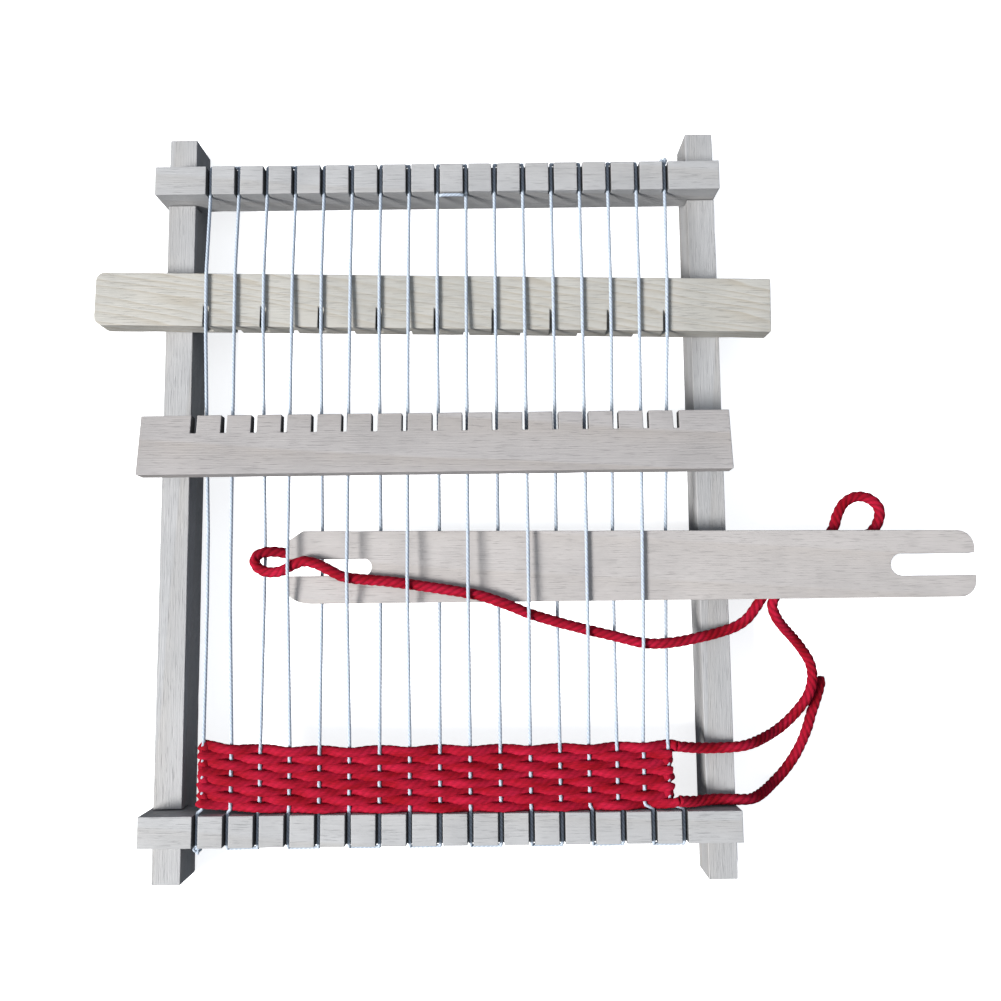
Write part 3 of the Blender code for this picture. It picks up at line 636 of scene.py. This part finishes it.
class LOOM_OT_screws(LoomButton, bpy.types.Operator):
    """Finish the four corner screws"""

    bl_idname = "loom.screws"
    bl_label = "Screws"

    def execute(self, context):
        material = steel(tuple(context.scene.loom_colours.steel))
        for node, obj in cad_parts.items():
            if node.endswith("_screw"):
                obj.data.materials.clear()
                obj.data.materials.append(material)
        return {"FINISHED"}


def cotton(context):
    """The warp's material, made once."""
    found = bpy.data.materials.get("warp_cotton")
    colour = tuple(context.scene.loom_colours.cotton)
    # The pale streak colour is partly a painted highlight, and the grooves between plies are painted darker,
    # to 0.74 of the colour.
    return found or spun("warp_cotton", colour, (0.62, 0.69, 0.77), 0.74, 700, 0.00003, 0.15)


def wool(context):
    """The yarn's material, made once."""
    found = bpy.data.materials.get("crimson_wool")
    colour = tuple(context.scene.loom_colours.yarn)
    # The pale streak colour is partly a painted highlight; the grooves between plies are painted dark, to a
    # tenth of the colour.
    pale = (min(1, colour[0] * 2.2), colour[1] + 0.014, colour[2] + 0.055)
    return found or spun("crimson_wool", colour, pale, 0.10, 420, 0.00014, 0.04)


class LOOM_OT_warp_ends(LoomButton, bpy.types.Operator):
    """String the seventeen warp ends, each in two lengths that meet past the heddle bar"""

    bl_idname = "loom.warp_ends"
    bl_label = "Warp ends"

    def execute(self, context):
        sizes = context.scene.loom_sizes
        material = cotton(context)
        for end in range(1, ENDS + 1):
            node = f"warp_end_{end:02d}"
            low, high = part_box(node)
            inset = 0.00005
            heights = np.arange(low.y + inset, high.y - inset, 0.0005)
            path = crossed(node, heights)
            for row in range(ROWS):
                away = (path[:, 1] - row_y(row, path[:, 0])) / (ROW_PITCH / 2)
                press = np.where(np.abs(away) < 1, np.cos(away * pi / 2) ** 2, 0)
                path[:, 2] -= over(end, row) * sizes.warp_dip * press
            meet = int(np.searchsorted(path[:, 1], (HEDDLE_NEAR + HEDDLE_FAR) / 2))
            walked = 0.0007 * end
            first = strand(
                node + "_span", path[:meet + 1], sizes.cotton_radius, COTTON_PLIES, sizes.cotton_lay,
                COTTON_SIDES, walked=walked, seed=end, ply_size=0.74,
            )
            span = placed(node + "_span", first, None, material, "cotton", node)
            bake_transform(span)
            walked += np.linalg.norm(np.diff(path[:meet + 1], axis=0), axis=1).sum()
            second = strand(
                node + "_back", path[meet:], sizes.cotton_radius, COTTON_PLIES, sizes.cotton_lay,
                COTTON_SIDES, walked=walked, seed=end, ply_size=0.74,
            )
            back = placed(node + "_back", second, None, material, "cotton")
            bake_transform(back)
        return {"FINISHED"}


class LOOM_OT_warp_turns(LoomButton, bpy.types.Operator):
    """Turn the warp round the beams' teeth, knot its two ends and tie in the short crossing length"""

    bl_idname = "loom.warp_turns"
    bl_label = "Warp turns and knots"

    def execute(self, context):
        sizes = context.scene.loom_sizes
        material = cotton(context)
        r = sizes.cotton_radius
        for side_name, side in (("near", -1), ("far", 1)):
            for node in sorted(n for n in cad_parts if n.startswith(f"warp_turn_{side_name}_")):
                low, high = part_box(node)
                left = low.x + r
                right = high.x - r
                z = (low.z + high.z) / 2
                start = low.y if side > 0 else high.y
                inside = start - side * 0.0008
                run = start + side * 0.0004
                bend = run - side * 0.0003
                sunk = z - 0.0011
                corner = 0.0009
                through = [(left, inside, z), (left + 0.0001, bend, z - 0.0004)]
                through += [(left + corner, run, sunk), (right - corner, run, sunk)]
                through += [(right - 0.0001, bend, z - 0.0004), (right, inside, z)]
                path = smooth(through, 0.0004)
                mesh = strand(
                    node + "_thread", path, r, COTTON_PLIES, sizes.cotton_lay, COTTON_SIDES,
                    seed=int(node[-2:]),
                )
                placed(node + "_thread", mesh, "frame", material, "cotton", node)
        for node in ("warp_knot_far", "warp_knot_near"):
            low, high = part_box(node)
            side = 1 if node.endswith("far") else -1
            middle = (low + high) / 2 - Vector((0, side * 0.0005, 0.0009))
            size = (high.y - low.y) / 2 - r * 0.75
            turns = np.linspace(0, tau, 90)
            wind = np.column_stack([
                middle.x + size * (np.sin(turns) + 2 * np.sin(2 * turns)) / 2.6,
                middle.y + size * (np.cos(turns) - 2 * np.cos(2 * turns)) / 2.6,
                middle.z - size * np.sin(3 * turns) * 0.75,
            ])
            mesh = strand(
                node + "_thread", wind, r * 0.95, COTTON_PLIES, sizes.cotton_lay, COTTON_SIDES, carried=True,
            )
            placed(node + "_thread", mesh, "frame", material, "cotton", node)
        low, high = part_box("warp_tie")
        y = (low.y + high.y) / 2
        z = (low.z + high.z) / 2
        through = [(low.x, y, z - 0.0005), (low.x + 0.001, y, z), ((low.x + high.x) / 2, y, z + 0.0001)]
        through += [(high.x - 0.001, y, z), (high.x, y, z - 0.0005)]
        path = smooth(through, 0.0004)
        mesh = strand("warp_tie_thread", path, r, COTTON_PLIES, sizes.cotton_lay, COTTON_SIDES)
        placed("warp_tie_thread", mesh, "frame", material, "cotton", "warp_tie")
        return {"FINISHED"}


class LOOM_OT_weaving(LoomButton, bpy.types.Operator):
    """Weave the rows as one yarn, over and under the ends and round the outer ends at each side"""

    bl_idname = "loom.weaving"
    bl_label = "Weaving"

    def execute(self, context):
        sizes = context.scene.loom_sizes
        xs = {end: woven_x(end) for end in range(1, ENDS + 1)}
        out = -0.0005
        first = Vector(WEFT_TAIL[0]) + Vector((MIDDLE_X, 0, 0))
        last = Vector(WORKING_YARN[0]) + Vector((MIDDLE_X, 0, 0))
        points = [tuple(first)]
        for row in range(ROWS):
            leftward = row % 2 == 0
            order = range(ENDS, 0, -1) if leftward else range(1, ENDS + 1)
            for end in order:
                drift = noise.noise(Vector((end * 0.9, row * 1.7, 4.2)))
                x = xs[end]
                y = row_y(row, x) + 0.00016 * drift
                points.append((x, y, THREAD_Z + over(end, row) * sizes.row_lift))
            if row < ROWS - 1:
                x = xs[1] - out if leftward else xs[ENDS] + out
                spread = 0.0002 * noise.noise(Vector((row * 2.3, 9.1, 0.4)))
                reach = -spread if leftward else spread
                points.append((x + reach, row_y(row, x) + ROW_PITCH * 0.22, THREAD_Z))
                points.append((x + reach, row_y(row, x) + ROW_PITCH * 0.78, THREAD_Z))
        points.append(tuple(last))
        path = smooth(points, 0.0005)
        half = sizes.row_width / 2
        flat = (half / sizes.yarn_radius, 0.76)
        lift = (path[:, 2] - THREAD_Z) / sizes.row_lift
        swell = 1 - 0.05 * np.abs(lift) - 0.10 * lift
        mesh = strand(
            "weft_rows", path, sizes.yarn_radius, YARN_PLIES, sizes.yarn_lay, ROW_SIDES, flat=flat,
            swell=swell, seed=5, ply_size=0.74,
        )
        placed("weft_rows", mesh, "frame", wool(context), "yarn", "weft")
        return {"FINISHED"}


def yarn_length(context, name, route, body, node, seed, closing):
    """A loose length of yarn along its route, which narrows to its cut end by the share closing."""
    sizes = context.scene.loom_sizes
    step = 0.0004
    path = smooth(np.array(route) + (MIDDLE_X, 0, 0), step)
    left = np.arange(len(path))[::-1] * step
    swell = 0.985 - closing * np.clip(1 - left / 0.003, 0, 1) ** 2
    mesh = strand(
        name, path, sizes.yarn_radius, YARN_PLIES, sizes.yarn_lay, YARN_SIDES, swell=swell, seed=seed,
    )
    obj = placed(name, mesh, body, wool(context), "yarn", node)
    length = float(np.linalg.norm(np.diff(path, axis=0), axis=1).sum())
    return obj, path, length


class LOOM_OT_working_yarn(LoomButton, bpy.types.Operator):
    """Lay the working yarn from the last row round to the shuttle"""

    bl_idname = "loom.working_yarn"
    bl_label = "Working yarn"

    def execute(self, context):
        obj, path, length = yarn_length(
            context, "working_yarn_plied", WORKING_YARN, None, "working_yarn", seed=7, closing=0.2,
        )
        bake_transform(obj)
        return {"FINISHED"}


class LOOM_OT_weft_tail(LoomButton, bpy.types.Operator):
    """Lay the first end of the weft out past the frame"""

    bl_idname = "loom.weft_tail"
    bl_label = "Weft tail"

    def execute(self, context):
        obj, path, length = yarn_length(
            context, "weft_tail_plied", WEFT_TAIL, "frame", "weft_tail", seed=11, closing=0.45,
        )
        return {"FINISHED"}


def soft_light(name, place, towards, size, power, colour):
    data = bpy.data.lights.new(name, "AREA")
    data.shape = "DISK"
    data.size = size
    data.energy = power
    data.color = colour
    lamp = bpy.data.objects.new(name, data)
    lamp.location = place
    lamp.rotation_euler = (Vector(towards) - Vector(place)).to_track_quat("-Z", "Y").to_euler()
    bpy.context.scene.collection.objects.link(lamp)


class LOOM_OT_stage(LoomButton, bpy.types.Operator):
    """Set the floor, the soft light and the camera"""

    bl_idname = "loom.stage"
    bl_label = "Floor, light and camera"

    def execute(self, context):
        colour = tuple(context.scene.loom_colours.floor)
        mesh = bpy.data.meshes.new("floor")
        reach = 3.0
        level = -0.0004
        corners = [(-reach, -reach), (reach, -reach), (reach, reach), (-reach, reach)]
        mesh.from_pydata([(x, y, level) for x, y in corners], [], [(0, 1, 2, 3)])
        floor = bpy.data.objects.new("floor", mesh)
        context.scene.collection.objects.link(floor)
        material, tree, shader = new_material("floor_paper", colour, 0.95)
        shader.inputs["Emission Color"].default_value = (1, 1, 1, 1)
        shader.inputs["Emission Strength"].default_value = 0.75
        shader.inputs["Specular IOR Level"].default_value = 0.0
        mesh.materials.append(material)
        floor.visible_diffuse = False
        floor.visible_glossy = False
        soft_light("key", (-1.9, -0.7, 1.7), (0, 0, 0.01), 1.0, 130.0, (1.0, 0.995, 0.99))
        soft_light("fill", (0.9, 0.5, 1.0), (0, 0, 0.01), 1.2, 2.0, (0.85, 0.92, 1.0))
        world = bpy.data.worlds.new("room")
        world.use_nodes = True
        background = world.node_tree.nodes["Background"]
        tree = world.node_tree
        direction = wire(tree, "TexCoord").outputs["Generated"]
        height = wire(tree, "SeparateXYZ", Vector=direction).outputs["Z"]
        below = (0.10, 0.11, 0.13)
        low_sky = (0.62, 0.70, 0.82)
        high_sky = (0.75, 0.82, 0.92)
        sky = ramp(tree, height, (0.0, below), (0.12, low_sky), (1.0, high_sky))
        tree.links.new(sky, background.inputs["Color"])
        background.inputs["Strength"].default_value = 0.50
        context.scene.world = world
        context.scene.view_settings.view_transform = "Standard"
        data = bpy.data.cameras.new("camera")
        data.lens = 32.37
        data.sensor_width = 36
        data.clip_start = 0.01
        camera = bpy.data.objects.new("camera", data)
        camera.location = (-0.0092, -0.0334, 0.3258)
        camera.rotation_euler = (0.0997, 0.0022, -0.0112)
        context.scene.collection.objects.link(camera)
        context.scene.camera = camera
        return {"FINISHED"}


BUTTONS = (
    LOOM_OT_stage,
    LOOM_OT_working_yarn,
    LOOM_OT_weft_tail,
    LOOM_OT_posts,
    LOOM_OT_beams,
    LOOM_OT_heddle_bar,
    LOOM_OT_comb,
    LOOM_OT_shuttle,
    LOOM_OT_screws,
    LOOM_OT_warp_ends,
    LOOM_OT_warp_turns,
    LOOM_OT_weaving,
)


class LOOM_PT_pieces(bpy.types.Panel):
    """Lists the loom's sizes, colours and pieces in the sidebar"""

    bl_idname = "LOOM_PT_pieces"
    bl_label = "Loom"
    bl_space_type = "VIEW_3D"
    bl_region_type = "UI"
    bl_category = "Loom"

    def draw(self, context):
        layout = self.layout
        for group in (context.scene.loom_sizes, context.scene.loom_colours):
            box = layout.box()
            for name in group.__annotations__:
                box.prop(group, name)
        for button in BUTTONS:
            layout.operator(button.bl_idname)


CLASSES = (LoomSizes, LoomColours, *BUTTONS, LOOM_PT_pieces)


def register():
    for cls in CLASSES:
        bpy.utils.register_class(cls)
    bpy.types.Scene.loom_sizes = bpy.props.PointerProperty(type=LoomSizes)
    bpy.types.Scene.loom_colours = bpy.props.PointerProperty(type=LoomColours)


def unregister():
    del bpy.types.Scene.loom_colours
    del bpy.types.Scene.loom_sizes
    for cls in reversed(CLASSES):
        bpy.utils.unregister_class(cls)


def main():
    register()
    bpy.ops.loom.stage()
    bpy.ops.loom.working_yarn()
    bpy.ops.loom.weft_tail()
    bpy.ops.loom.posts()
    bpy.ops.loom.beams()
    bpy.ops.loom.heddle_bar()
    bpy.ops.loom.comb()
    bpy.ops.loom.shuttle()
    bpy.ops.loom.screws()
    bpy.ops.loom.warp_ends()
    bpy.ops.loom.warp_turns()
    bpy.ops.loom.weaving()


if __name__ == "__main__":
    main()
